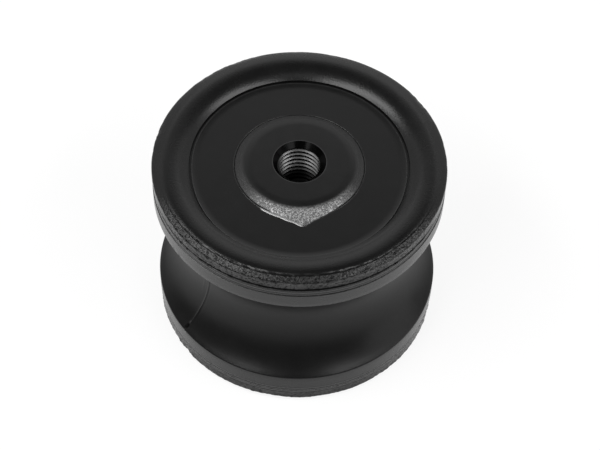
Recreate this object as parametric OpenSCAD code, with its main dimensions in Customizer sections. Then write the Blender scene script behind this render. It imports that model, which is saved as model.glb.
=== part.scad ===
// Bonded rubber engine mount: a waisted rubber body with a steel plate moulded into each end face.
// A threaded nut sits in the middle of each plate, with its crown just below the rubber lip.
// Frame: +Z up the axis, origin at the centre of the lower lip crest, front of the mount towards -Y.

/* [Body] */
// Height from lip crest to lip crest
height = 75; // [64:0.5:110]
// Diameter of both rims
rim_d = 100; // [90:0.5:120]
// Smallest diameter of the waist
waist_d = 77; // [60:0.5:88]
// Height of one rim, from its lip crest to the edge of the waist
rim_h = 15; // [13.5:0.5:21]

/* [Rim] */
// Width of the level crest of a lip
crest_w = 1.1; // [0.8:0.1:3]
// Width of the rounded slope from the crest in to the plate
lip_w = 7.8; // [5:0.1:9]
// Height of the lip crest above the face of the plate
lip_h = 3.6; // [2.6:0.1:5]
// Width of the bevel from the crest out to the side of the rim
crest_bevel_w = 4.4; // [3.5:0.1:6]
// Height of that bevel
crest_bevel_h = 1.6; // [0.6:0.1:2.2]
// Rounding between the crest and its bevel
crest_edge_r = 3; // [0.5:0.5:4]
// Rounding between the bevel and the side of the rim
rim_edge_r = 0.8; // [0.2:0.1:1.5]
// Rounding of the edge between the rim and the waist
waist_edge_r = 0.8; // [0.2:0.1:2]
// Distance of the mould split groove below the crest
split_drop = 5; // [4:0.1:7]
// Radius of the mould split groove
split_r = 0.4; // [0.2:0.05:0.8]
// Distance of the raised band below the crest
band_drop = 9; // [8:0.1:12]
// How far the rim is stepped in between the groove and the band
band_step = 0.2; // [0.05:0.05:0.6]

/* [Plate] */
// Thickness of the rubber round the edge of a plate
edge_cover = 4; // [3:0.1:6]
// Thickness of a plate
plate_t = 5; // [3:0.5:8]
// Rounding of the edge of a plate
plate_edge_r = 0.8; // [0.2:0.1:1.4]
// Bonding film between rubber and steel
bond_gap = 0.05; // [0.02:0.01:0.2]

/* [Nut] */
// Diameter of the flat face of the crown
crown_flat_d = 36.8; // [32:0.2:44]
// Width of the bevel round the flat face
crown_bevel_w = 3.6; // [2:0.1:5]
// Distance of the flat face below the lip crest
crown_drop = 1.6; // [0.8:0.1:2.6]
// Rounding between the flat face and the bevel
shoulder_r = 9; // [4:0.5:10]
// Angle of the pointed corner that keys the nut in its plate
nose_angle = 120; // [90:5:150]
// Direction of the pointed corner, turned from the front towards +X
nose_turn = 5; // [-180:1:180]
// Clearance between the crown and the hole in the plate
hole_gap = 0.15; // [0.05:0.05:0.4]
// Overlap of the collar past the point of the hole
collar_lap = 0.8; // [0.5:0.1:3]
// Thickness of the collar under the plate
collar_t = 4; // [2:0.5:8]
// Diameter of the shank
shank_d = 28; // [24:0.5:40]
// Thickness of the floor under the drilled hole
floor_t = 2.5; // [1.5:0.5:5]

/* [Thread] */
// Minor diameter of the thread
thread_minor_d = 13.84; // [8:0.02:18]
// Depth of the threaded hole below the flat face
thread_depth = 18; // [14:0.5:22]
// Width of the 45 degree bevel at the mouth of the hole
mouth_bevel_w = 2.1; // [0.5:0.1:3]
// Included angle of the drill point
drill_angle = 118; // [90:1:140]

/* [Hidden] */

rubber_color = [0.10, 0.10, 0.10];
plate_color = [0.13, 0.13, 0.13];
nut_color = [0.24, 0.24, 0.24];

// Extra reach of a cut past the solid that it cuts
over = 1;
$fn = 128;

rim_r = rim_d / 2;
waist_r = waist_d / 2;
waist_sag = rim_r - waist_r;
waist_half_h = height / 2 - rim_h;
waist_arc_r = (waist_half_h * waist_half_h + waist_sag * waist_sag) / (2 * waist_sag);

bevel_r = rim_r - crest_bevel_w;
crest_r = bevel_r - crest_w;
lip_arc_r = (lip_w * lip_w + lip_h * lip_h) / (2 * lip_h);
step_r = rim_r - band_step;

plate_r = rim_r - edge_cover;

crown_h = lip_h - crown_drop;
crown_flat_r = crown_flat_d / 2;
crown_r = crown_flat_r + crown_bevel_w;
nose_half = nose_angle / 2;
nose_reach = (crown_r + hole_gap) / sin(nose_half);
collar_r = nose_reach + collar_lap;
shank_r = shank_d / 2;

thread_r = thread_minor_d / 2;
hole_floor = crown_h - thread_depth;
drill_point = hole_floor - thread_r / tan(drill_angle / 2);
nut_foot = drill_point - floor_t;
collar_foot = -plate_t - collar_t;

// Places a part in the upper end: z = 0 is the outer face of the plate and +z points out of the mount
module at_upper_end() {
    translate([0, 0, height - lip_h])
        children();
}

// The same for the lower end
module at_lower_end() {
    translate([0, 0, lip_h])
        mirror([0, 0, 1])
            children();
}

// Both ends of the half section of the rubber, with y = 0 on the outer face of the plate
module at_both_ends_of_section() {
    translate([0, height - lip_h])
        children();
    translate([0, lip_h])
        mirror([0, 1])
            children();
}

// What rounding takes off a convex corner between the edges that leave it along a and b
module corner_cut(corner, a, b, r) {
    bisector = (a + b) / norm(a + b);
    half_angle = acos(a * b) / 2;
    centre = corner + bisector * r / sin(half_angle);
    tangent = r / tan(half_angle);
    difference() {
        polygon([centre, corner + a * tangent, corner - bisector * over, corner + b * tangent]);
        translate(centre)
            circle(r = r);
    }
}

// The concave side of the rubber, as the circle that it is cut by
module waist_cut() {
    translate([waist_r + waist_arc_r, height / 2])
        circle(r = waist_arc_r);
}

// What rounding takes off the edge between the rim and the waist
module waist_edge_cut() {
    waist_centre = [waist_r + waist_arc_r, lip_h - height / 2];
    reach = waist_arc_r + waist_edge_r;
    across = waist_centre.x - rim_r + waist_edge_r;
    centre = waist_centre + [-across, sqrt(reach * reach - across * across)];
    on_waist = waist_centre + (centre - waist_centre) * waist_arc_r / reach;
    difference() {
        polygon([
            centre,
            [rim_r, centre.y],
            [rim_r + over, centre.y],
            [rim_r + over, on_waist.y],
            on_waist
        ]);
        translate(centre)
            circle(r = waist_edge_r);
    }
}

// The open end face inside the lip, with the rounded slope of the lip left standing
module lip_cut() {
    difference() {
        square([crest_r, lip_h + over]);
        translate([crest_r, lip_h - lip_arc_r])
            circle(r = lip_arc_r);
    }
}

// The outside of the rim: the bevel of the crest with both its edges rounded, the mould split groove, and
// the step from the groove down to the band
module rim_cut() {
    bevel_dir = [crest_bevel_w, -crest_bevel_h] / norm([crest_bevel_w, crest_bevel_h]);
    inner_edge = [bevel_r, lip_h];
    outer_edge = [rim_r, lip_h - crest_bevel_h];
    polygon([inner_edge, outer_edge, outer_edge + [over, 0], [rim_r + over, lip_h + over], inner_edge + [0, over]]);
    corner_cut(inner_edge, [-1, 0], bevel_dir, crest_edge_r);
    corner_cut(outer_edge, -bevel_dir, [0, -1], rim_edge_r);
    translate([step_r, lip_h - split_drop])
        circle(r = split_r);
    translate([step_r, lip_h - band_drop])
        square([band_step + over, band_drop - split_drop]);
}

// The space in the rubber that the plate and the nut fill, with the bonding film round them
module insert_cut() {
    translate([0, -plate_t - bond_gap])
        square([plate_r + bond_gap, plate_t + 2 * bond_gap]);
    translate([0, collar_foot - bond_gap])
        square([collar_r + bond_gap, collar_t + bond_gap]);
    translate([0, nut_foot - bond_gap])
        square([shank_r + bond_gap, collar_foot - nut_foot + bond_gap]);
}

module rubber_body() {
    color(rubber_color)
        rotate_extrude()
            difference() {
                square([rim_r, height]);
                waist_cut();
                at_both_ends_of_section() {
                    waist_edge_cut();
                    lip_cut();
                    rim_cut();
                    insert_cut();
                }
            }
}

// Outline of the crown: a circle with one pointed corner whose flats are tangent to it
module crown_outline(gap) {
    r = crown_r + gap;
    side = r * cos(nose_half);
    front = -r * sin(nose_half);
    rotate(nose_turn) {
        circle(r = r);
        polygon([[0, 0], [-side, front], [0, -r / sin(nose_half)], [side, front]]);
    }
}

module plate() {
    edge = [plate_r, 0];
    back_edge = [plate_r, -plate_t];
    color(plate_color)
        difference() {
            rotate_extrude()
                difference() {
                    translate([0, -plate_t])
                        square([plate_r, plate_t]);
                    corner_cut(edge, [-1, 0], [0, -1], plate_edge_r);
                    corner_cut(back_edge, [-1, 0], [0, 1], plate_edge_r);
                }
            translate([0, 0, -plate_t - over])
                linear_extrude(plate_t + 2 * over)
                    crown_outline(hole_gap);
        }
}

// Half section of the turned crown: a flat face, a rounded shoulder and a bevel that runs on down to the collar
module crown_section() {
    bevel_dir = [crown_bevel_w, -crown_h] / norm([crown_bevel_w, crown_h]);
    bevel_foot_r = crown_flat_r + (crown_h + plate_t) * crown_bevel_w / crown_h;
    difference() {
        polygon([[0, -plate_t], [bevel_foot_r, -plate_t], [crown_flat_r, crown_h], [0, crown_h]]);
        corner_cut([crown_flat_r, crown_h], [-1, 0], bevel_dir, shoulder_r);
    }
}

// Half section of the drilled hole: drill point, straight wall at the minor diameter and bevelled mouth
module thread_section() {
    polygon([
        [0, drill_point],
        [thread_r, hole_floor],
        [thread_r, crown_h - mouth_bevel_w],
        [thread_r + mouth_bevel_w + over, crown_h + over],
        [0, crown_h + over]
    ]);
}

module nut() {
    color(nut_color)
        difference() {
            union() {
                intersection() {
                    translate([0, 0, -plate_t])
                        linear_extrude(plate_t + crown_h)
                            crown_outline(0);
                    rotate_extrude()
                        crown_section();
                }
                translate([0, 0, collar_foot])
                    cylinder(h = collar_t, r = collar_r);
                translate([0, 0, nut_foot])
                    cylinder(h = collar_foot - nut_foot, r = shank_r);
            }
            rotate_extrude()
                thread_section();
        }
}

module upper_plate() {
    at_upper_end()
        plate();
}

module upper_nut() {
    at_upper_end()
        nut();
}

module lower_plate() {
    at_lower_end()
        plate();
}

module lower_nut() {
    at_lower_end()
        nut();
}

rubber_body();
upper_plate();
upper_nut();
lower_plate();
lower_nut();
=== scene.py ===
# %% [markdown]
# # A bonded rubber engine mount
#
# The mount is an hourglass of black rubber with a steel plate moulded into each end and a threaded nut in
# the middle of each plate. The solids come in as a fixed frame. This lesson dresses them: it models the
# rubber with its mould marks, the nuts with a real thread, and gives every surface its own finish.

# %% Load the frame
from math import asin, atan2, cos, degrees, hypot, pi, radians, sin, sqrt, tan

import bpy
from mathutils import Matrix, Vector, noise


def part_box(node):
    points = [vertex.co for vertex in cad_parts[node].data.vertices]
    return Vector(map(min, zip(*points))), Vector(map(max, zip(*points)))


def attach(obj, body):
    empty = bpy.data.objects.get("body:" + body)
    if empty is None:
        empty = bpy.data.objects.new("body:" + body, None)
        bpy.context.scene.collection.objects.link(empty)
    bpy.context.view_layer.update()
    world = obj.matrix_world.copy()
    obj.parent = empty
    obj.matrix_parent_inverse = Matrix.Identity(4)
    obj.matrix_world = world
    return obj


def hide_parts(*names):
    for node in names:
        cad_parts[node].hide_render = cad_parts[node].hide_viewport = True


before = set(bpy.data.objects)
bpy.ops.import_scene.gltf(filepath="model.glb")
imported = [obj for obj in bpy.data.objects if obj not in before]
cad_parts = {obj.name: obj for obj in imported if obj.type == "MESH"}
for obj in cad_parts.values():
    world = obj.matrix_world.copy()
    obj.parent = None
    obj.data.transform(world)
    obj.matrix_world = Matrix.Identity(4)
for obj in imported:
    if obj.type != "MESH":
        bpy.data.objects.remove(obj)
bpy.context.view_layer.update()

# %% [markdown]
# ## Sizes from the frame
#
# A visual piece has to lie exactly where its solid lies, so the main sizes are read from the solids' boxes.
# Typing them again would work until someone changes the solid. Only what a box can't tell, such as the
# radius of a rounding, is written here as a size of its own.

# %% Sizes from the frame
MM = 0.001

rubber_low, rubber_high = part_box("rubber_body")
plate_low, plate_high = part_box("upper_plate")
nut_low, nut_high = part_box("upper_nut")

HEIGHT = rubber_high.z
MIDDLE = HEIGHT / 2
RIM_R = min(rubber_high.x, rubber_high.y, -rubber_low.x, -rubber_low.y)
PLATE_FACE = plate_high.z
PLATE_T = plate_high.z - plate_low.z
PLATE_R = plate_high.x
CROWN_TOP = nut_high.z
NUT_FOOT = nut_low.z
COLLAR_R = nut_high.x
print("height", round(HEIGHT / MM, 2), "rim radius", round(RIM_R / MM, 2), "mm")

# %% [markdown]
# ## The camera
#
# The photograph looks down on the front of the mount with a long lens. A long lens from far away keeps the
# two rims nearly the same size, so both the distance and the focal length matter, not just the angle.
# Turning the camera about its own axes in order, tilt, turn and roll, is easier to follow than one matrix.

# %% Camera at the photograph's angle
CAMERA_AT = Vector((0.0, -349.1 * MM, 510.9 * MM))
CAMERA_TILT = radians(90 - 53.606)
CAMERA_TURN = radians(-0.124)
CAMERA_ROLL = radians(1.672)
CAMERA_LENS = 99.44
SENSOR_W = 36

camera_data = bpy.data.cameras.new("camera")
camera_data.sensor_width = SENSOR_W
camera_data.lens = CAMERA_LENS
camera_data.clip_start = 10 * MM
camera = bpy.data.objects.new("camera", camera_data)
bpy.context.scene.collection.objects.link(camera)
turned = Matrix.Rotation(CAMERA_TURN, 4, "Z") @ Matrix.Rotation(CAMERA_TILT, 4, "X")
camera.matrix_world = Matrix.Translation(CAMERA_AT) @ turned @ Matrix.Rotation(CAMERA_ROLL, 4, "Z")
bpy.context.scene.camera = camera
print("camera", round(CAMERA_AT.length, 3), "m from the foot of the mount")

# %% [markdown]
# ## Drawing and turning a half section
#
# Nearly everything on this mount is round, so it can be drawn as half a section and turned about the axis,
# as on a lathe. A section starts as a plane merged to one point, and each further point is an extrusion of
# the last one. The Screw modifier with no rise then does the turning. Spin in edit mode gives the same mesh
# but is slow for a fine one.

# %% Draw a section
MERGE = 0.001 * MM


def deselect():
    """Nothing stays selected, so the next operator can't reach an older object."""
    bpy.ops.object.select_all(action="DESELECT")


def arc(centre, radius, start, stop, steps):
    """Points on an arc of a section, with angles in degrees from +r towards +z."""
    angles = [radians(start + (stop - start) * i / steps) for i in range(steps + 1)]
    return [(centre[0] + radius * cos(a), centre[1] + radius * sin(a)) for a in angles]


def spread(start, stop, steps):
    """Evenly spaced points from start to stop, without start."""
    share = [i / steps for i in range(1, steps + 1)]
    return [(start[0] + (stop[0] - start[0]) * s, start[1] + (stop[1] - start[1]) * s) for s in share]


def draw_section(name, points):
    """A chain of edges through the points (r, z), drawn by extruding one vertex."""
    deselect()
    bpy.ops.mesh.primitive_plane_add(size=MM)
    piece = bpy.context.object
    piece.name = name
    bpy.ops.object.mode_set(mode="EDIT")
    bpy.ops.mesh.select_mode(type="VERT")
    bpy.ops.mesh.select_all(action="SELECT")
    bpy.ops.mesh.merge(type="CENTER")
    bpy.ops.transform.translate(value=(points[0][0], 0, points[0][1]))
    for here, there in zip(points, points[1:]):
        step = (there[0] - here[0], 0, there[1] - here[1])
        bpy.ops.mesh.extrude_vertices_move(TRANSFORM_OT_translate={"value": step})
    bpy.ops.object.mode_set(mode="OBJECT")
    return piece


# %% Turn a section
def close_seams(piece):
    """Merges doubled points and turns all faces outwards."""
    bpy.ops.object.mode_set(mode="EDIT")
    bpy.ops.mesh.select_all(action="SELECT")
    bpy.ops.mesh.remove_doubles(threshold=MERGE)
    bpy.ops.mesh.normals_make_consistent(inside=False)
    bpy.ops.object.mode_set(mode="OBJECT")


def turn(piece, steps, rise=0.0, turns=1):
    """Turns a section about the axis, and with a rise winds it into a thread."""
    lathe = piece.modifiers.new("turn", "SCREW")
    lathe.axis = "Z"
    lathe.angle = 2 * pi
    lathe.steps = steps
    lathe.render_steps = steps
    lathe.screw_offset = rise
    lathe.iterations = turns
    lathe.use_merge_vertices = True
    lathe.merge_threshold = MERGE
    bpy.ops.object.modifier_apply(modifier=lathe.name)
    close_seams(piece)
    return piece


def report(piece):
    """Prints how fine a finished mesh is."""
    triangles = sum(len(face.vertices) - 2 for face in piece.data.polygons)
    print(piece.name, len(piece.data.vertices), "points,", triangles, "triangles")


# %% [markdown]
# ## The rubber moulding
#
# The rubber is one moulding: a waist, two rims, and a lip that wraps over the edge of each plate. Its section
# is drawn for the upper end and mirrored for the lower one, where flash has nearly filled the groove. Small
# marks belong in the section too, because light finds them: the gap under the edge of the lip, the groove
# where the mould halves met, fine lines below it and the step of the outer band. Cutting each of them into a
# plain shape later would take a Boolean for every line.

# %% Hidden side of the section
FILM = 0.05 * MM
SHANK_R = 14.0 * MM
COLLAR_T = 4.0 * MM
LIP_EDGE_R = 37.4 * MM
LIP_GAP_W = 0.7 * MM
LIP_GAP_H = 0.3 * MM


def insert_space():
    """Round the shank, the collar and the plate with a bonding film, then in under the lip."""
    foot = NUT_FOOT - FILM
    collar_foot = PLATE_FACE - PLATE_T - COLLAR_T - FILM
    plate_back = PLATE_FACE - PLATE_T - FILM
    plate_top = PLATE_FACE + FILM
    shank = SHANK_R + FILM
    collar = COLLAR_R + FILM
    edge = PLATE_R + FILM
    gap = LIP_EDGE_R + LIP_GAP_W
    return [(0, foot), (shank, foot), (shank, collar_foot), (collar, collar_foot), (collar, plate_back),
            (edge, plate_back), (edge, plate_top), (gap, plate_top), (gap, plate_top + LIP_GAP_H)]


print("hidden side has", len(insert_space()), "points")

# %% Lip of the section
LIP_SLOPE_R = 10.25 * MM
CREST_R = 44.5 * MM
BEVEL_R = 46.7 * MM
CLOSE_R = 47.0 * MM
CLOSE_STEP = 0.2 * MM
BEVEL_STEPS = 5
BEVEL_TILT = radians(18.5)
EDGE_TILT = radians(23)
RIM_ROUND = 0.8 * MM

edge_r = RIM_R - RIM_ROUND * (1 - sin(EDGE_TILT))
crest_round = (BEVEL_R - CREST_R) / sin(BEVEL_TILT)
bevel_round = (edge_r - BEVEL_R) / (sin(EDGE_TILT) - sin(BEVEL_TILT))
bevel_centre_r = BEVEL_R - bevel_round * sin(BEVEL_TILT)
bevel_centre_z = HEIGHT - crest_round * (1 - cos(BEVEL_TILT)) - bevel_round * cos(BEVEL_TILT)
rim_round_z = bevel_centre_z + (bevel_round - RIM_ROUND) * cos(EDGE_TILT)


def on_bevel(radius):
    """The point of the slightly domed bevel outside the crest at a radius."""
    return (radius, bevel_centre_z + sqrt(bevel_round ** 2 - (radius - bevel_centre_r) ** 2))


def lip_face():
    """Rounded slope and crest, a bevel with three close rings for the broken line, and the rim's edge."""
    steepest = 90 + degrees(asin((CREST_R - LIP_EDGE_R) / LIP_SLOPE_R))
    slope = arc((CREST_R, HEIGHT - LIP_SLOPE_R), LIP_SLOPE_R, steepest, 90, 12)
    crest = arc((CREST_R, HEIGHT - crest_round), crest_round, 90, 90 - degrees(BEVEL_TILT), 6)[1:]
    close = [on_bevel(CLOSE_R + CLOSE_STEP * side) for side in (-1, 0, 1)]
    start = CLOSE_R + CLOSE_STEP
    bevel = [on_bevel(start + (edge_r - start) * i / BEVEL_STEPS) for i in range(1, BEVEL_STEPS)]
    edge = arc((RIM_R - RIM_ROUND, rim_round_z), RIM_ROUND, 90 - degrees(EDGE_TILT), 0, 5)
    return slope + crest + close + bevel + edge


print("bevel drops", round((HEIGHT - rim_round_z) / MM, 2), "mm to the side of the rim")

# %% Rim wall of the section
STEP_IN = 0.2 * MM
SPLIT_DROP = 5.6 * MM
SPLIT_H = 0.7 * MM
SPLIT_DEPTH = 0.6 * MM
SPLIT_STEPS = 6
FILLED_SPLIT_DEPTH = 0.08 * MM
BAND_DROP = 9.0 * MM
FINE_LINES = (6.6 * MM, 7.7 * MM)
FINE_LINE = 0.12 * MM
FINE_LINE_DEPTH = 0.06 * MM

step_r = RIM_R - STEP_IN


def rim_wall(split_depth, split_edge_r):
    """The wall of the rim with the mould split groove, the fine lines and the step out to the band."""
    split = HEIGHT - SPLIT_DROP
    above = spread((RIM_R, rim_round_z), (split_edge_r, split + SPLIT_H), 3)
    angles = [pi / 2 + pi * i / SPLIT_STEPS for i in range(1, SPLIT_STEPS + 1)]
    groove = [(step_r + split_depth * cos(a), split + SPLIT_H * sin(a)) for a in angles]
    lines = []
    for drop in FINE_LINES:
        at = HEIGHT - drop
        lines += [(step_r, at + FINE_LINE), (step_r - FINE_LINE_DEPTH, at), (step_r, at - FINE_LINE)]
    edge = HEIGHT - BAND_DROP
    step = [(step_r, edge + FINE_LINE), (step_r - FINE_LINE_DEPTH, edge), (RIM_R, edge - FINE_LINE)]
    return above + groove + lines + step


print("groove", 2 * SPLIT_H / MM, "mm wide at", SPLIT_DROP / MM, "mm below the crest")

# %% Band and waist of the section
RIM_H = 15.0 * MM
WAIST_R = 38.5 * MM
WAIST_EDGE = 0.8 * MM

waist_rise = MIDDLE - RIM_H
waist_sag = RIM_R - WAIST_R
waist_arc_r = (waist_rise ** 2 + waist_sag ** 2) / (2 * waist_sag)
waist_centre = (WAIST_R + waist_arc_r, MIDDLE)


def band_and_waist():
    """The band, its rounded lower edge and the waist down to its middle."""
    across = waist_centre[0] - RIM_R + WAIST_EDGE
    reach = waist_arc_r + WAIST_EDGE
    edge_centre = (RIM_R - WAIST_EDGE, MIDDLE + sqrt(reach ** 2 - across ** 2))
    tangent = degrees(atan2(MIDDLE - edge_centre[1], across))
    band = spread((RIM_R, HEIGHT - BAND_DROP - FINE_LINE), (RIM_R, edge_centre[1]), 3)
    edge = arc(edge_centre, WAIST_EDGE, 0, tangent, 5)[1:]
    waist = arc(waist_centre, waist_arc_r, 180 + tangent, 180, 18)[1:]
    return band + edge + waist


print("waist is an arc of", round(waist_arc_r / MM, 2), "mm radius")

# %% Turn the rubber
RUBBER_STEPS = 560


def half_section(split_depth, split_edge_r):
    """The section of the upper end, down to the middle of the waist."""
    return insert_space() + lip_face() + rim_wall(split_depth, split_edge_r) + band_and_waist()


upper_half = half_section(SPLIT_DEPTH, RIM_R)
filled_half = half_section(FILLED_SPLIT_DEPTH, step_r)
lower_half = [(r, HEIGHT - z) for r, z in reversed(filled_half[:-1])]
rubber = turn(draw_section("rubber_moulding", upper_half + lower_half), RUBBER_STEPS)
report(rubber)

# %% [markdown]
# ## Marks of the mould on the rubber
#
# The moulding isn't quite true: at the front its lip leans outwards a little, which is a plain move of
# points. The bevel outside the crest isn't smooth either. The rubber has a coarse skin there, strongest at
# the front, and a broken line marks where it starts. A Displace modifier with a cloud texture moves the
# points, and a vertex group says how much. Painting the weights by hand would do, but a rule on the position
# is exact and can be repeated. Torn flash left the outer edges ragged and beaded the groove. The mould was
# split down the sides as well, which left a thin ridge on the waist.

# %% Lean of the lip at the front
FRONT = radians(-90)
LIP_LEAN = 1.1 * MM

lip_h = HEIGHT - PLATE_FACE


def ease(value, low, high):
    """0 up to low, 1 from high on, smooth between."""
    share = min(max((value - low) / (high - low), 0), 1)
    return share * share * (3 - 2 * share)


def end_depth(point):
    """How far a point lies from the crest of the nearer end."""
    return MIDDLE - abs(point.z - MIDDLE)


def facing_front(point):
    """1 at the front, 0 at the sides, -1 at the back."""
    return -point.y / max(hypot(point.x, point.y), MM)


def lean_out(piece, most):
    """Moves a ring above the plate outwards at the front: all of it up to the crest, then less and less."""
    for vertex in piece.data.vertices:
        if end_depth(vertex.co) < lip_h:
            radius = hypot(vertex.co.x, vertex.co.y)
            share = ease(facing_front(vertex.co), 0.0, 1.0) * (1 - ease(radius, CREST_R, RIM_R))
            vertex.co.x *= 1 + most * share / radius
            vertex.co.y *= 1 + most * share / radius


lean_out(rubber, LIP_LEAN)
print("lip leans out by up to", round(LIP_LEAN / MM, 2), "mm")

# %% Where the skin is coarse, lined or torn
COARSE_R = 47.6 * MM
COARSE_RAMP = 0.9 * MM
COARSE_SOFT = 0.2 * MM
COARSE_FRONT = (0.3, 0.7)
COARSE_BACK = 0.06
COARSE_LOWER = 0.8
LINE_W = 0.4 * MM
BEVEL_DROP = 1.6 * MM
RAG_LOBES = 3.1
NEAR = 0.1 * MM


def skin_weight(point):
    """1 on the bevel and the wall above the split, at the front of the upper end and all round the lower."""
    outside = ease(hypot(point.x, point.y), COARSE_R, COARSE_R + COARSE_RAMP)
    split_edge = SPLIT_DROP - SPLIT_H
    above_split = 1 - ease(end_depth(point), split_edge - COARSE_SOFT, split_edge + COARSE_SOFT)
    front = COARSE_BACK + (1 - COARSE_BACK) * ease(facing_front(point), *COARSE_FRONT)
    return outside * above_split * (front if point.z > MIDDLE else COARSE_LOWER)


def line_weight(point):
    """1 along the line where the coarse skin starts, at the front."""
    on_line = abs(hypot(point.x, point.y) - COARSE_R) < LINE_W / 2 and end_depth(point) < BEVEL_DROP
    return ease(facing_front(point), *COARSE_FRONT) if on_line else 0


def rag_weight(point):
    """1 on the outer edge of each end, in patches where flash was torn off, weaker at the upper end."""
    outside = ease(hypot(point.x, point.y), RIM_R - 1.6 * MM, RIM_R - 0.3 * MM)
    edge = 1 - ease(end_depth(point), BEVEL_DROP + 1.2 * MM, SPLIT_DROP - 0.6 * MM)
    angle = atan2(point.y, point.x)
    ring = 1 if point.z > MIDDLE else 7
    patch = noise.noise(Vector((cos(angle) * RAG_LOBES, sin(angle) * RAG_LOBES, ring)))
    strongest = 0.5 if point.z > MIDDLE else 1.0
    return outside * edge * strongest * ease(patch, -0.2, 0.25)


def flash_weight(point):
    """1 on the lower edge of the split groove."""
    on_edge = abs(end_depth(point) - SPLIT_DROP - SPLIT_H) < NEAR
    return 1 if on_edge and hypot(point.x, point.y) > step_r - NEAR else 0


print("coarse skin from radius", COARSE_R / MM, "mm outwards")


# %% Displace the skin
def displace(piece, name, weight, grain, depth, level):
    """Moves points along their normals by a cloud texture, where the weight says so."""
    group = piece.vertex_groups.new(name=name)
    for vertex in piece.data.vertices:
        share = weight(vertex.co)
        if share > 0.001:
            group.add([vertex.index], share, "REPLACE")
    clouds = bpy.data.textures.new(name, "CLOUDS")
    clouds.noise_scale = grain
    clouds.noise_depth = 2
    shift = piece.modifiers.new(name, "DISPLACE")
    shift.texture = clouds
    shift.texture_coords = "LOCAL"
    shift.vertex_group = name
    shift.strength = depth
    shift.mid_level = level
    bpy.ops.object.modifier_apply(modifier=shift.name)
    piece.vertex_groups.clear()


displace(rubber, "coarse_skin", skin_weight, grain=0.85 * MM, depth=0.42 * MM, level=0.9)
displace(rubber, "broken_line", line_weight, grain=3.0 * MM, depth=-0.5 * MM, level=0.3)
displace(rubber, "ragged_edge", rag_weight, grain=2.2 * MM, depth=0.9 * MM, level=0.7)
displace(rubber, "beaded_groove", flash_weight, grain=0.9 * MM, depth=0.4 * MM, level=0.52)
print("rubber reaches", [round(v / MM, 2) for v in rubber.dimensions], "mm across")

# %% Choose and push points
step_angle = 2 * pi / RUBBER_STEPS


def push_points(piece, chosen, distance):
    """Moves the points that a rule picks along their normals, outwards for a positive distance."""
    deselect()
    piece.select_set(True)
    bpy.context.view_layer.objects.active = piece
    bpy.ops.object.mode_set(mode="EDIT")
    bpy.ops.mesh.select_mode(type="VERT")
    bpy.ops.mesh.select_all(action="DESELECT")
    bpy.ops.object.mode_set(mode="OBJECT")
    for vertex in piece.data.vertices:
        vertex.select = chosen(vertex.co)
    bpy.ops.object.mode_set(mode="EDIT")
    bpy.ops.transform.shrink_fatten(value=distance)
    bpy.ops.object.mode_set(mode="OBJECT")


def column(angle, top, foot):
    """A rule for the one column of points on the waist nearest to an angle."""
    nearest = round(angle / step_angle) * step_angle

    def chosen(point):
        away = (atan2(point.y, point.x) - nearest + pi) % (2 * pi) - pi
        on_waist = end_depth(point) > RIM_H - 0.3 * MM and hypot(point.x, point.y) > WAIST_R - MM
        return on_waist and foot <= point.z <= top and abs(away) < step_angle / 2

    return chosen


# %% Split ridges on the waist
SPLIT_TURN = radians(-51.5)
SECOND_TURN = radians(-4)
SECOND_FOOT = MIDDLE - 8 * MM
RIDGE_RISE = 0.16 * MM
RIDGE_FOOT = 0.07 * MM

ridge_angle = FRONT + SPLIT_TURN
waist_top = HEIGHT - RIM_H + MM
waist_foot = RIM_H - MM
for ridge in (ridge_angle, ridge_angle + pi):
    push_points(rubber, column(ridge, waist_top, waist_foot), RIDGE_RISE)
    push_points(rubber, column(ridge + step_angle, waist_top, waist_foot), -RIDGE_FOOT)
push_points(rubber, column(ridge_angle + SECOND_TURN, waist_top, SECOND_FOOT), RIDGE_RISE / 2)
print("ridges stand", round(RIDGE_RISE / MM, 2), "mm proud")

# %% Pit at the foot of the front ridge
PIT_R = 0.8 * MM
PIT_DEPTH = 1.2 * MM
PIT_IN = 0.9 * MM
PIT_ABOVE_RIM = 1.0 * MM

pit_way = Vector((cos(ridge_angle), sin(ridge_angle), 0))
pit = pit_way * (RIM_R - PIT_IN) + Vector((0, 0, RIM_H + PIT_ABOVE_RIM))
push_points(rubber, lambda point: (point - pit).length < PIT_R, -PIT_DEPTH)

deselect()
rubber.select_set(True)
bpy.context.view_layer.objects.active = rubber
bpy.ops.object.shade_smooth_by_angle(angle=radians(38))
report(rubber)

# %% [markdown]
# ## The threaded nuts
#
# Each nut is a turned crown with one pointed corner that keys it in the plate, a collar and a shank below the
# plate, and a tapped blind hole. It is made as in a workshop: turn a blank, cut it to its outline, drill it,
# and run a tap down the hole. The cuts are Boolean modifiers. A thread drawn as a bump would look flat in the
# mouth of the hole, and a winding Screw modifier gives the true helix.

# %% Sections of the nut
CROWN_FLAT_R = 18.4 * MM
CROWN_BEVEL_W = 3.6 * MM
SHOULDER_R = 9.0 * MM
NOSE_TURN = radians(5)
NOSE_FLAT = radians(30)
OVER = 0.5 * MM

crown_h = CROWN_TOP - PLATE_FACE
crown_r = CROWN_FLAT_R + CROWN_BEVEL_W
nose_angle = FRONT + NOSE_TURN
nose_r = crown_r / cos(NOSE_FLAT)
bevel_slope = crown_h / CROWN_BEVEL_W
bevel_angle = degrees(atan2(crown_h, CROWN_BEVEL_W))
collar_top = PLATE_FACE - PLATE_T
collar_foot = collar_top - COLLAR_T


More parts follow.
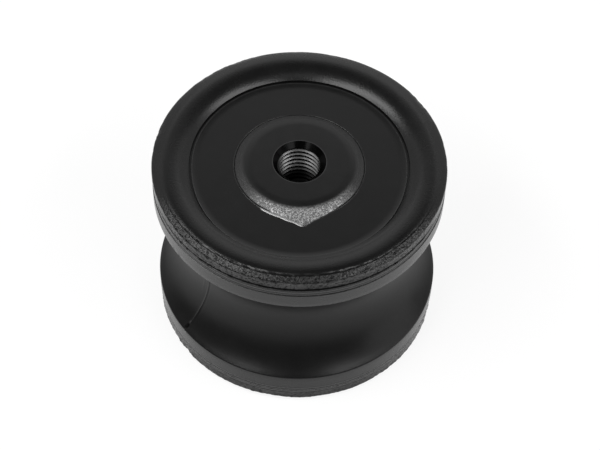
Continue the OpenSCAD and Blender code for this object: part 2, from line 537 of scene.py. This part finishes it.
def crown_section():
    """Flat face, rounded shoulder and a bevel that runs on down past the tip of the corner."""
    tangent = SHOULDER_R * tan(radians(bevel_angle) / 2)
    centre = (CROWN_FLAT_R - tangent, CROWN_TOP - SHOULDER_R)
    rim = nose_r + OVER
    rim_z = CROWN_TOP - (rim - CROWN_FLAT_R) * bevel_slope
    sunk = collar_top - OVER
    shoulder = arc(centre, SHOULDER_R, 90, 90 - bevel_angle, 12)
    return [(0, CROWN_TOP)] + shoulder + [(rim, rim_z), (rim, sunk), (0, sunk)]


def foot_section():
    """Collar and shank."""
    return [(0, collar_top), (COLLAR_R, collar_top), (COLLAR_R, collar_foot), (SHANK_R, collar_foot),
            (SHANK_R, NUT_FOOT), (0, NUT_FOOT)]


print("crown stands", round(crown_h / MM, 2), "mm above the plate")

# %% Nut blank
CROWN_STEPS = 288


def crown_reach(angle):
    """Radius of the crown's outline in a direction: round, with two flats that meet in the pointed corner."""
    off = abs((angle - nose_angle + pi) % (2 * pi) - pi)
    return crown_r / cos(NOSE_FLAT - off) if off < NOSE_FLAT else crown_r


def crown_prism():
    """A block with the crown's outline, taller than the crown."""
    deselect()
    foot = collar_top - MM
    bpy.ops.mesh.primitive_circle_add(vertices=CROWN_STEPS, radius=crown_r, fill_type="NGON",
                                      location=(0, 0, 0))
    block = bpy.context.object
    for vertex in block.data.vertices:
        reach = crown_reach(atan2(vertex.co.y, vertex.co.x)) / crown_r
        vertex.co = (vertex.co.x * reach, vertex.co.y * reach, foot)
    bpy.ops.object.mode_set(mode="EDIT")
    bpy.ops.mesh.select_all(action="SELECT")
    tall = CROWN_TOP + MM - foot
    bpy.ops.mesh.extrude_region_move(TRANSFORM_OT_translate={"value": (0, 0, tall)})
    bpy.ops.object.mode_set(mode="OBJECT")
    close_seams(block)
    return block


def combine(piece, tool, operation):
    """Applies a Boolean with a tool solid and removes the tool."""
    deselect()
    piece.select_set(True)
    bpy.context.view_layer.objects.active = piece
    cut = piece.modifiers.new("cut", "BOOLEAN")
    cut.operation = operation
    cut.solver = "EXACT"
    cut.object = tool
    bpy.ops.object.modifier_apply(modifier=cut.name)
    bpy.data.objects.remove(tool)


nut = turn(draw_section("upper_nut_threaded", crown_section()), CROWN_STEPS)
combine(nut, crown_prism(), "INTERSECT")
combine(nut, turn(draw_section("nut_foot", foot_section()), CROWN_STEPS // 2), "UNION")
report(nut)

# %% Drill, bevel and tap the hole
THREAD_MINOR_R = 6.92 * MM
THREAD_MAJOR_R = 8.0 * MM
THREAD_PITCH = 2.0 * MM
THREAD_DEPTH = 18.0 * MM
THREAD_STEPS = 120
THREAD_FLANK = radians(30)
MOUTH_BEVEL = 2.1 * MM
DRILL_R = 6.86 * MM
DRILL_HALF_ANGLE = radians(59)

thread_end = CROWN_TOP - THREAD_DEPTH
above = CROWN_TOP + 2 * MM
mouth_r = THREAD_MINOR_R + MOUTH_BEVEL


def drill_tool():
    """A drill with its point, reaching out above the crown."""
    point = thread_end - DRILL_R / tan(DRILL_HALF_ANGLE)
    profile = [(0, point), (DRILL_R, thread_end), (DRILL_R, above), (0, above)]
    return turn(draw_section("drill", profile), THREAD_STEPS)


def mouth_tool():
    """A 45 degree cone that bevels the mouth of the hole."""
    top_r = mouth_r + above - CROWN_TOP
    return turn(draw_section("mouth", [(0, above - top_r), (top_r, above), (0, above)]), THREAD_STEPS)


def tap_tool():
    """One pitch of the 60 degree thread form, wound up past the mouth and cut square at both ends."""
    flank = (THREAD_MAJOR_R - THREAD_MINOR_R) * tan(THREAD_FLANK)
    root = THREAD_PITCH / 8
    crest = THREAD_PITCH - root - 2 * flank
    start = thread_end - THREAD_PITCH
    heights = [0, crest, crest + flank, crest + flank + root, THREAD_PITCH]
    radii = [THREAD_MINOR_R, THREAD_MINOR_R, THREAD_MAJOR_R, THREAD_MAJOR_R, THREAD_MINOR_R]
    turns = int((above - start) / THREAD_PITCH) + 2
    form = [(r, start + z) for r, z in zip(radii, heights)]
    tap = turn(draw_section("tap", form), THREAD_STEPS, THREAD_PITCH, turns)
    bpy.ops.object.mode_set(mode="EDIT")
    for height, outwards in ((thread_end + OVER, -1), (above, 1)):
        bpy.ops.mesh.select_all(action="SELECT")
        bpy.ops.mesh.bisect(plane_co=(0, 0, height), plane_no=(0, 0, outwards), use_fill=True,
                            clear_outer=True, threshold=MERGE)
    bpy.ops.object.mode_set(mode="OBJECT")
    close_seams(tap)
    return tap


combine(nut, drill_tool(), "DIFFERENCE")
combine(nut, tap_tool(), "DIFFERENCE")
combine(nut, mouth_tool(), "DIFFERENCE")
close_seams(nut)
bpy.ops.object.shade_smooth_by_angle(angle=radians(25))
report(nut)

# %% The lower nut
centre = Matrix.Translation((0, 0, MIDDLE))
nose_way = Vector((cos(nose_angle), sin(nose_angle), 0))
turn_over = centre @ Matrix.Rotation(pi, 4, nose_way) @ centre.inverted()


def turned_over(piece, name):
    """The same piece at the other end, turned about the line of the corner, so threads stay right-handed."""
    other = piece.copy()
    other.data = piece.data.copy()
    other.name = name
    bpy.context.scene.collection.objects.link(other)
    deselect()
    other.select_set(True)
    bpy.context.view_layer.objects.active = other
    other.matrix_world = turn_over
    bpy.ops.object.transform_apply(location=True, rotation=True, scale=True)
    return other


lower_nut = turned_over(nut, "lower_nut_threaded")
report(lower_nut)

# %% [markdown]
# ## Rings and beads of bonding coat
#
# The coat that bonds rubber to steel is squeezed out a little where the parts meet. Inside the lip it dries
# as a shallow ring that curves up towards the rubber, and round the crown as a thin bead, thicker along one
# side of the corner. The ring is turned like the rubber and leans out with it at the front. The bead follows
# an uneven outline, so its outline becomes a curve whose points carry their own thickness, and the half that
# would lie inside the plate is cut away.

# %% Coat inside the lip
LIP_COAT_IN = 34.2 * MM
LIP_COAT_OUT = 36.5 * MM
LIP_COAT_H = 0.4 * MM
LIP_COAT_EDGE = 0.08 * MM
LIP_COAT_FILL = 0.7 * MM
LIP_COAT_STEPS = 360
SEAT = 0.01 * MM


def lip_coat(name):
    """A shallow ring of coat that curves up from the plate towards the lip, and fills in at the front."""
    steps = 10
    wide = LIP_COAT_OUT - LIP_COAT_IN
    foot = PLATE_FACE + SEAT
    shares = [i / steps for i in range(steps + 1)]
    face = [(LIP_COAT_IN + wide * share, foot + LIP_COAT_H * share ** 2) for share in shares]
    edge = arc((LIP_COAT_OUT, foot + LIP_COAT_H - LIP_COAT_EDGE), LIP_COAT_EDGE, 90, 0, 4)[1:]
    outside = [(LIP_COAT_OUT + LIP_COAT_EDGE, foot)]
    ring = turn(draw_section(name, face + edge + outside + face[:1]), LIP_COAT_STEPS)
    lean_out(ring, LIP_LEAN + LIP_COAT_FILL)
    bpy.ops.object.shade_smooth_by_angle(angle=radians(50))
    report(ring)
    return ring


upper_lip_coat = lip_coat("upper_lip_coat")
lower_lip_coat = turned_over(upper_lip_coat, "lower_lip_coat")

# %% Bead round the crown
CROWN_GAP = 0.15 * MM
BEAD_THIN = 0.16 * MM
BEAD_THICK = 0.42 * MM
BEAD_FLAT = 0.55
BEAD_LOBES = 9


def bead_radius(angle):
    """Thickest along the left flat of the corner, nearly gone at the back, uneven between."""
    off = (angle - nose_angle + pi) % (2 * pi) - pi
    thick = ease(off, radians(-46), radians(-34)) - ease(off, radians(-3), radians(2))
    back = ease(abs(off), radians(168), radians(174))
    uneven = 1 + 0.35 * noise.noise(Vector((cos(angle) * BEAD_LOBES, sin(angle) * BEAD_LOBES, 0)))
    return (BEAD_THIN + (BEAD_THICK - BEAD_THIN) * thick) * uneven * (1 - 0.85 * back)


def bead_outline(name):
    """A closed curve just outside the gap round the crown, with the bead's thickness at each point."""
    deselect()
    bpy.ops.mesh.primitive_circle_add(vertices=CROWN_STEPS, radius=crown_r, location=(0, 0, 0))
    bead = bpy.context.object
    bead.name = name
    thickness = {}
    for vertex in bead.data.vertices:
        angle = atan2(vertex.co.y, vertex.co.x)
        thick = bead_radius(angle)
        reach = crown_reach(angle) + CROWN_GAP + thick
        vertex.co = (cos(angle) * reach, sin(angle) * reach, PLATE_FACE)
        thickness[tuple(round(c, 7) for c in vertex.co)] = thick
    bpy.ops.object.convert(target="CURVE")
    bead.data.bevel_depth = 1.0
    bead.data.bevel_resolution = 3
    for point in bead.data.splines[0].points:
        point.radius = thickness[tuple(round(c, 7) for c in point.co[:3])]


def crown_bead(name):
    """The flattened bead along that outline, cut off level with the plate and closed."""
    bead_outline(name)
    bpy.ops.object.convert(target="MESH")
    bead = bpy.context.object
    bpy.ops.object.mode_set(mode="EDIT")
    bpy.ops.mesh.select_all(action="SELECT")
    bpy.ops.transform.resize(value=(1, 1, BEAD_FLAT), center_override=(0, 0, PLATE_FACE))
    bpy.ops.mesh.bisect(plane_co=(0, 0, PLATE_FACE + SEAT), plane_no=(0, 0, -1), clear_outer=True,
                        threshold=MERGE)
    bpy.ops.mesh.select_all(action="DESELECT")
    bpy.ops.mesh.select_non_manifold()
    bpy.ops.mesh.bridge_edge_loops()
    bpy.ops.object.mode_set(mode="OBJECT")
    close_seams(bead)
    bpy.ops.object.shade_smooth_by_angle(angle=radians(50))
    report(bead)
    return bead


upper_crown_bead = crown_bead("upper_crown_bead")
lower_crown_bead = turned_over(upper_crown_bead, "lower_crown_bead")

# %% [markdown]
# ## Writing shaders as sums
#
# A finish is a small network of nodes. Written node by node it is long and hard to read, so one class wraps a
# socket: a sum of two wires adds a Math node, and any other node comes from one method. The finishes below
# then read like formulas of the place on the surface.

# %% Wires
class Wire:
    """One output socket. Sums on wires add Math nodes to the same material."""

    def __init__(self, socket):
        self.socket = socket

    def node(self, kind, settings=None, sockets=None, output=0):
        """Adds a node: its settings first, then the values or links of its sockets."""
        tree = self.socket.id_data
        made = tree.nodes.new(kind)
        for name, value in (settings or {}).items():
            setattr(made, name, value)
        for name, value in (sockets or {}).items():
            if isinstance(value, Wire):
                tree.links.new(value.socket, made.inputs[name])
            else:
                made.inputs[name].default_value = value
        return Wire(made.outputs[output]) if made.outputs else None

    def out(self, name):
        """Another output of the same node."""
        return Wire(self.socket.node.outputs[name])

    def math(self, operation, first, second=0.0):
        return self.node("ShaderNodeMath", {"operation": operation}, {0: first, 1: second})

    def __add__(self, other):
        return self.math("ADD", self, other)

    def __radd__(self, other):
        return self.math("ADD", other, self)

    def __sub__(self, other):
        return self.math("SUBTRACT", self, other)

    def __rsub__(self, other):
        return self.math("SUBTRACT", other, self)

    def __mul__(self, other):
        return self.math("MULTIPLY", self, other)

    def __rmul__(self, other):
        return self.math("MULTIPLY", other, self)

    def __truediv__(self, other):
        return self.math("DIVIDE", self, other)

    def __neg__(self):
        return self.math("MULTIPLY", self, -1.0)

    def __abs__(self):
        return self.math("ABSOLUTE", self)

    def rise(self, low, high):
        """0 up to low, 1 from high on, smooth between."""
        return self.node("ShaderNodeMapRange", {"interpolation_type": "SMOOTHSTEP"},
                         {"Value": self, "From Min": low, "From Max": high})

    def band(self, low, high, soft):
        """1 between low and high, 0 outside, with soft sides."""
        return self.rise(low - soft, low + soft) * (1 - self.rise(high - soft, high + soft))

    def grain(self, size, detail=2.0, rough=0.5):
        """Cloudy noise from 0 to 1 with grains of a size, read at this place."""
        return self.node("ShaderNodeTexNoise", None,
                         {"Vector": self, "Scale": 1 / size, "Detail": detail, "Roughness": rough})

    def blend(self, first, second):
        """A colour between two, by this wire."""
        return self.node("ShaderNodeMix", {"data_type": "RGBA"}, {"Factor": self, 6: first, 7: second}, 2)

    def bump(self, depth):
        """A normal from this wire as a height, where 1 stands a depth high."""
        return self.node("ShaderNodeBump", None, {"Height": self, "Distance": depth})


# %% Starting and closing a finish
def grey(value):
    """A colour with the same share of red, green and blue."""
    return (value, value, value, 1.0)


def new_finish(name):
    """An empty material, and its object coordinates as the first wire."""
    finish = bpy.data.materials.new(name)
    finish.use_nodes = True
    finish.node_tree.nodes.clear()
    place = finish.node_tree.nodes.new("ShaderNodeTexCoord")
    return finish, Wire(place.outputs["Object"])


def shader(place, sockets):
    """A Principled shader."""
    return place.node("ShaderNodeBsdfPrincipled", None, sockets)


def close_finish(place, surface):
    """Ends a material in a shader."""
    place.node("ShaderNodeOutputMaterial", None, {"Surface": surface})


def polar(place):
    """Radius, depth below the nearer crest, the sideways and backward shares of the direction, and height."""
    apart = place.node("ShaderNodeSeparateXYZ", None, {0: place})
    x, y, z = apart.out("X"), apart.out("Y"), apart.out("Z")
    radius = place.node("ShaderNodeVectorMath", {"operation": "LENGTH"},
                        {0: place.node("ShaderNodeCombineXYZ", None, {"X": x, "Y": y})}, "Value")
    depth = MIDDLE - abs(z - MIDDLE)
    return radius, depth, x / radius, y / radius, z


# %% [markdown]
# ## Rubber
#
# Moulded rubber is a very dark grey with a soft gloss. What makes it read as rubber is uneven gloss: the
# waist copied a smooth mould, the bevel has a coarse, dusty skin, and the outer bands carry fine lines from
# the turned mould. Each zone is a mask on radius and depth below the crest. The foot of the front lip is
# painted lighter, a painted reflection. The groove, the broken line and the pits of the skin get painted
# shade from a mixed-in near-black shader, which also takes the gloss away. The specular level can't vary
# within one material, so the waist and lower rim get a second, less reflective material from the same
# function: a painted shade for the darker table near the foot that they mirror.

# %% Rubber finish
SPECULAR = 0.4
SHADED_COPY_SPECULAR = 0.235
SHADE_SHADER_SPECULAR = 0.1
BUMP_UNIT = 0.1 * MM
CREASE_IN = 38.2 * MM
CREASE_OUT = 40.8 * MM
MOULD_LINE = 0.35 * MM


def painted_shade_shader(place):
    """Painted shade, near-black and without gloss."""
    return shader(place, {
        "Base Color": grey(0.002),
        "Roughness": 0.8,
        "Specular IOR Level": SHADE_SHADER_SPECULAR,
    })


def rubber_finish(name, specular):
    finish, place = new_finish(name)
    radius, depth, side, back, z = polar(place)
    upper = z.rise(MIDDLE - MM, MIDDLE + MM)
    front = (-back).rise(0.25, 0.7)
    above_split = 1 - depth.rise(SPLIT_DROP - 0.5 * MM, SPLIT_DROP - 0.2 * MM)
    bevel = radius.rise(COARSE_R, COARSE_R + 0.4 * MM) * above_split
    coarse = bevel * (COARSE_BACK + (1 - COARSE_BACK) * front * upper + 0.6 * (1 - upper))
    wall = depth.band(SPLIT_DROP, RIM_H, 0.3 * MM) * radius.rise(RIM_R - 1.2 * MM, RIM_R - 0.6 * MM)
    waist = depth.rise(RIM_H - 0.5 * MM, RIM_H + 1.5 * MM)
    at_split = depth.band(SPLIT_DROP - SPLIT_H, SPLIT_DROP + SPLIT_H, 0.1 * MM)
    groove = at_split * (1 - radius.rise(step_r - 0.3 * MM, step_r)) * upper
    line = radius.band(COARSE_R - 0.3 * MM, COARSE_R + 0.2 * MM, 0.1 * MM) * above_split * front * upper
    crease = radius.band(CREASE_IN, CREASE_OUT, 0.5 * MM) * (1 - depth.rise(lip_h, lip_h + MM))
    # Painted reflection: the foot of the front lip is painted lighter.
    painted_lip_light = crease * (-back).rise(0.45, 0.95) * upper

    around = place.node("ShaderNodeCombineXYZ", None, {"X": side * 2.5, "Y": back * 2.5, "Z": z / MOULD_LINE})
    lines = around.grain(1.0)
    fine = place.grain(0.6 * MM, 3.0)
    peel = place.grain(0.75 * MM, 3.0, 0.65)
    cloud = place.grain(7 * MM, 3.0)
    dust = place.grain(1.3 * MM, 5.0, 0.65).rise(0.5, 0.75)
    broken = place.grain(2.5 * MM).rise(0.4, 0.55)

    plain = (cloud * 0.45 + dust * 0.35 + wall * 0.5).blend(grey(0.004), grey(0.010))
    dusty = (coarse * peel.rise(0.5, 0.68)).blend(plain, grey(0.008))
    height = fine * (0.5 - waist * 0.4) + peel * coarse * 2.1 + lines * wall * 0.25 + cloud * 0.15
    clean = shader(place, {
        "Base Color": painted_lip_light.blend(dusty, grey(0.03)),
        "Roughness": 0.24 + cloud * 0.06 + waist * 0.05 - coarse * 0.06,
        "Specular IOR Level": specular,
        "Normal": height.bump(BUMP_UNIT),
    })
    # Painted shade: the groove, the broken line and the pits of the skin go towards a near-black, dull
    # shader.
    pits = coarse * (1 - peel.rise(0.4, 0.5))
    shade_mask = groove + line * broken * 0.8 + pits * 0.65
    close_finish(place, place.node("ShaderNodeMixShader", None, {0: shade_mask, 1: clean, 2: painted_shade_shader(place)}))
    return finish


rubber_look = rubber_finish("moulded_rubber", SPECULAR)
# A less reflective copy for the waist and lower rim, a painted shade for the darker table near the foot.
shaded_copy_look = rubber_finish("rubber_shaded_copy", SHADED_COPY_SPECULAR)
print("rubber finish has", len(rubber_look.node_tree.nodes), "nodes")

# %% Which faces get the less reflective copy, a painted shade
for look in (rubber_look, shaded_copy_look):
    rubber.data.materials.append(look)
for face in rubber.data.polygons:
    out = hypot(face.center.x, face.center.y)
    on_waist = end_depth(face.center) > RIM_H - NEAR and out > WAIST_R - MM
    on_lower_rim = face.center.z < MIDDLE and out > BEVEL_R
    face.material_index = 1 if on_waist or on_lower_rim else 0
print(sum(face.material_index for face in rubber.data.polygons), "faces of the rubber are dimmer")

# %% [markdown]
# ## Coated plate
#
# The plate carries a thin satin coat. It is nearly even, with a faint mottle from drying, dust, and a scuffed
# arc left by a washer beside the crown. Where the coat was squeezed out it dried glossier, and along the left
# of the corner it is rubbed bright. The plates keep their own solids, because only their finish was missing.

# %% Plate finish
SCUFF_R = 26.8 * MM
SCUFF_W = 0.7 * MM


def plate_finish():
    finish, place = new_finish("bonding_coat")
    radius, depth, side, back, z = polar(place)
    mottle = place.grain(5 * MM, 4.0, 0.6)
    fine = place.grain(0.4 * MM, 3.0)
    specks = place.grain(0.5 * MM).rise(0.62, 0.72)
    scuffed = radius.band(SCUFF_R - SCUFF_W, SCUFF_R + SCUFF_W, 0.3 * MM) * (-side).band(0.5, 0.93, 0.08)
    scuff = scuffed * (-back).rise(-0.1, 0.2) * specks
    shade = mottle * 0.45 + specks * 0.08 + scuff * 2.2
    close_finish(place, shader(place, {
        "Base Color": shade.blend(grey(0.003), grey(0.007)),
        "Roughness": 0.32 + mottle * 0.08 - scuff * 0.1,
        "Specular IOR Level": SPECULAR,
        "Normal": (fine * 0.15 + mottle * 0.2 - scuff * 0.25).bump(BUMP_UNIT),
    }))
    return finish


plate_look = plate_finish()
for name in ("upper_plate", "lower_plate"):
    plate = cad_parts[name]
    plate.data.materials.clear()
    plate.data.materials.append(plate_look)
print("plate finish has", len(plate_look.node_tree.nodes), "nodes")


# %% Squeezed coat on rings and beads
def bead_finish():
    finish, place = new_finish("squeezed_coat")
    radius, depth, side, back, z = polar(place)
    mottle = place.grain(1.5 * MM, 3.0)
    ahead = side * cos(nose_angle) + back * sin(nose_angle)
    left = side * sin(nose_angle) - back * cos(nose_angle)
    rubbed = left.band(0.03, 0.62, 0.03) * ahead.rise(0.5, 0.6) * (1 - radius.rise(28 * MM, 30 * MM))
    close_finish(place, shader(place, {
        "Base Color": rubbed.blend(mottle.blend(grey(0.010), grey(0.022)), grey(0.4)),
        "Metallic": rubbed * (0.5 + 0.5 * mottle),
        "Roughness": 0.18 + mottle * 0.14 + rubbed * 0.2,
        "Normal": mottle.bump(BUMP_UNIT),
    }))
    return finish


bead_look = bead_finish()
for bead in (upper_crown_bead, lower_crown_bead):
    bead.data.materials.append(bead_look)
for ring in (upper_lip_coat, lower_lip_coat):
    ring.data.materials.append(plate_look)
    ring.data.materials.append(bead_look)
    for face in ring.data.polygons:
        face.material_index = 1 if end_depth(face.center) < lip_h - LIP_COAT_H * 0.9 else 0
print("squeezed coat on the beads and on the edges of the lip rings")

# %% [markdown]
# ## Nut steel
#
# The nut was dipped in the same dark coat as the plate. On the front of its bevel and on the pointed corner
# the coat is worn to speckles, so bare steel flashes through, and round the mouth of the hole it is rubbed
# thin. The gap round the crown gets a painted shade. The thread was cut after the dip; its colour carries
# painted light, lighter at the back and left of the hole, and painted shade in the roots and deeper down. The
# mouth and the bottom of the hole get a near-black painted shade. Three materials, chosen face by face, keep
# these finishes apart with clean edges.

# %% Nut finish
GAP_SHADE = 0.2 * MM
MOUTH_RIM = 0.25 * MM


def nut_finish():
    finish, place = new_finish("worn_nut_coat")
    radius, depth, side, back, z = polar(place)
    ahead = side * cos(nose_angle) + back * sin(nose_angle)
    bevel = radius.rise(CROWN_FLAT_R, CROWN_FLAT_R + 1.6 * MM)
    specks = place.grain(0.6 * MM, 3.0, 0.7).rise(0.42, 0.62)
    mottle = place.grain(4 * MM, 3.0)
    fine = place.grain(0.3 * MM, 3.0)
    mouth_edge = radius.band(mouth_r, mouth_r + MOUTH_RIM, 0.1 * MM)
    rubbed = bevel * 0.05 + mouth_edge * 0.08
    worn = bevel * ahead.rise(0.45, 1.0) * (0.25 + 0.75 * specks) + rubbed
    # Painted shade in the gap round the crown, left off at the corner.
    shade_mask = depth.rise(lip_h - GAP_SHADE, lip_h - GAP_SHADE / 4) * (1 - ahead.rise(0.85, 0.88))
    coat = mottle.blend(grey(0.003), grey(0.007))
    close_finish(place, shader(place, {
        "Base Color": shade_mask.blend(worn.blend(coat, grey(0.35)), grey(0.002)),
        "Metallic": worn * (1 - shade_mask),
        "Roughness": 0.34 + mottle * 0.08 + shade_mask * 0.3,
        "Specular IOR Level": SPECULAR,
        "Normal": (fine * 0.15 + specks * bevel * 0.35).bump(BUMP_UNIT),
    }))
    return finish


nut_look = nut_finish()
print("nut finish has", len(nut_look.node_tree.nodes), "nodes")


# %% Thread with painted light and shade
def thread_finish():
    """Cut steel with painted light, lighter at the back and left of the hole, and painted shade in the roots
    and deeper down.
    """
    finish, place = new_finish("cut_thread_steel")
    radius, depth, side, back, z = polar(place)
    streak = place.grain(1.2 * MM, 3.0)
    # Painted light on the back and left of the hole; painted shade in the roots and deeper down.
    painted_light_side = (0.15 + 0.85 * back.rise(0.0, 0.8)) * (1 - 0.75 * side.rise(0.2, 0.75))
    off_roots = 1 - radius.rise(THREAD_MINOR_R + 0.3 * MM, THREAD_MINOR_R + 0.75 * MM)
    bright = (0.4 + 0.6 * streak) * painted_light_side * off_roots * (1 - depth.rise(10 * MM, 17 * MM))
    close_finish(place, shader(place, {
        "Base Color": bright.blend(grey(0.004), grey(0.26)),
        "Metallic": 1.0,
        "Roughness": 0.22 + streak * 0.14,
    }))
    return finish


def mouth_finish():
    """Painted shade, nearly black, in the bevelled mouth and at the bottom of the hole."""
    finish, place = new_finish("mouth_painted_shade")
    shade_grain = place.grain(2 * MM, 3.0)
    close_finish(place, shader(place, {
        "Base Color": shade_grain.blend(grey(0.0005), grey(0.002)),
        "Roughness": 0.12 + shade_grain * 0.1,
        "Specular IOR Level": 0.05,
    }))
    return finish


thread_look = thread_finish()
mouth_look = mouth_finish()
for piece in (nut, lower_nut):
    piece.data.materials.clear()
    for look in (nut_look, thread_look, mouth_look):
        piece.data.materials.append(look)
    faces = [0, 0, 0]
    for face in piece.data.polygons:
        depth = end_depth(face.center) - (HEIGHT - CROWN_TOP)
        in_hole = depth > 0.05 * MM and hypot(face.center.x, face.center.y) < mouth_r
        bevelled = 0.66 < abs(face.normal.z) < 0.75
        tapped = depth < THREAD_DEPTH and not bevelled
        # Faces of the mouth bevel and the bottom of the hole get the near-black painted shade.
        face.material_index = (1 if tapped else 2) if in_hole else 0
        faces[face.material_index] += 1
    print(piece.name, "faces coated, tapped and darkened:", faces)

# %% [markdown]
# ## Floor and light
#
# The mount stands on a white table under soft light. Black rubber shows mostly what it reflects, so the
# lights are placed for their reflections: a wide panel high on the left and another on the right, a low card
# at the right, a dim strip high in front, and a pale backdrop of five pieces behind, with darkness overhead.
# The table glows, which lights the rims from below, and it gets darker towards the front, outside the
# picture, because the front of the waist would mirror it there.

# %% Floor
FLOOR_SIZE = 6.0
FADE_FROM = -80 * MM
FADE_TO = -300 * MM
FADED = 0.2
TABLE_GLOW = 0.82

deselect()
bpy.ops.mesh.primitive_plane_add(size=FLOOR_SIZE, location=(0, 0, 0))
floor = bpy.context.object
floor.name = "floor"
floor_look, floor_place = new_finish("white_table")
backwards = floor_place.node("ShaderNodeSeparateXYZ", None, {0: floor_place}).out("Y")
lit = backwards.rise(FADE_TO, FADE_FROM)
close_finish(floor_place, shader(floor_place, {
    "Base Color": grey(0.2),
    "Roughness": 0.9,
    "Specular IOR Level": 0.1,
    "Emission Color": lit.blend(grey(FADED), grey(1.0)),
    "Emission Strength": TABLE_GLOW,
}))
floor.data.materials.append(floor_look)
print("floor", FLOOR_SIZE, "m wide")

# %% Lights
LIGHT_DISTANCE = 0.9
LIGHT_AIM = Vector((0, 0, MIDDLE))
ROOM_LIGHT = 0.06


def panel(name, turn_deg, lift_deg, width, height, radiance):
    """A soft light panel, turned from the front towards +X and lifted above the table."""
    data = bpy.data.lights.new(name, "AREA")
    data.shape = "RECTANGLE"
    data.size = width
    data.size_y = height
    data.energy = radiance * pi * width * height
    light = bpy.data.objects.new(name, data)
    bpy.context.scene.collection.objects.link(light)
    turn_at = FRONT + radians(turn_deg)
    lift = radians(lift_deg)
    way = Vector((cos(lift) * cos(turn_at), cos(lift) * sin(turn_at), sin(lift)))
    light.location = LIGHT_AIM + way * LIGHT_DISTANCE
    light.rotation_euler = way.to_track_quat("Z", "Y").to_euler()
    light.visible_camera = False
    print(name, round(data.energy, 2), "W")


panel("left_panel", -63, 51, 0.92, 0.36, 6.0)
panel("right_panel", 60, 45, 0.88, 0.32, 4.8)
panel("right_card", 75, 13, 0.7, 0.45, 1.2)
panel("front_strip", 0, 68, 0.6, 0.22, 0.5)
panel("backdrop_right", 128, 17, 0.88, 1.0, 0.52)
panel("backdrop_left", 232, 17, 0.88, 1.0, 0.46)
panel("backdrop_low", 180, 5, 0.88, 0.45, 0.46)
panel("backdrop_middle", 180, 32, 0.7, 0.42, 0.84)
panel("backdrop_top", 180, 51, 1.4, 0.2, 0.41)
world = bpy.data.worlds.new("studio")
bpy.context.scene.world = world
world.use_nodes = True
room = world.node_tree.nodes["Background"]
room.inputs["Color"].default_value = grey(1.0)
room.inputs["Strength"].default_value = ROOM_LIGHT
bpy.context.scene.view_settings.view_transform = "Standard"

# %% [markdown]
# ## Handing the pieces to the frame
#
# Every new piece rides on the one body of this part. The moulding and the nuts stand for their plain solids,
# and the rings and beads of coat are additions.

# %% Riding, and hiding the plain solids
for piece, node, slot in (
    (rubber, "rubber_body", "rubber"),
    (nut, "upper_nut", "nut_steel"),
    (lower_nut, "lower_nut", "nut_steel"),
):
    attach(piece, "root")
    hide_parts(node)
for coat in (upper_lip_coat, lower_lip_coat, upper_crown_bead, lower_crown_bead):
    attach(coat, "root")
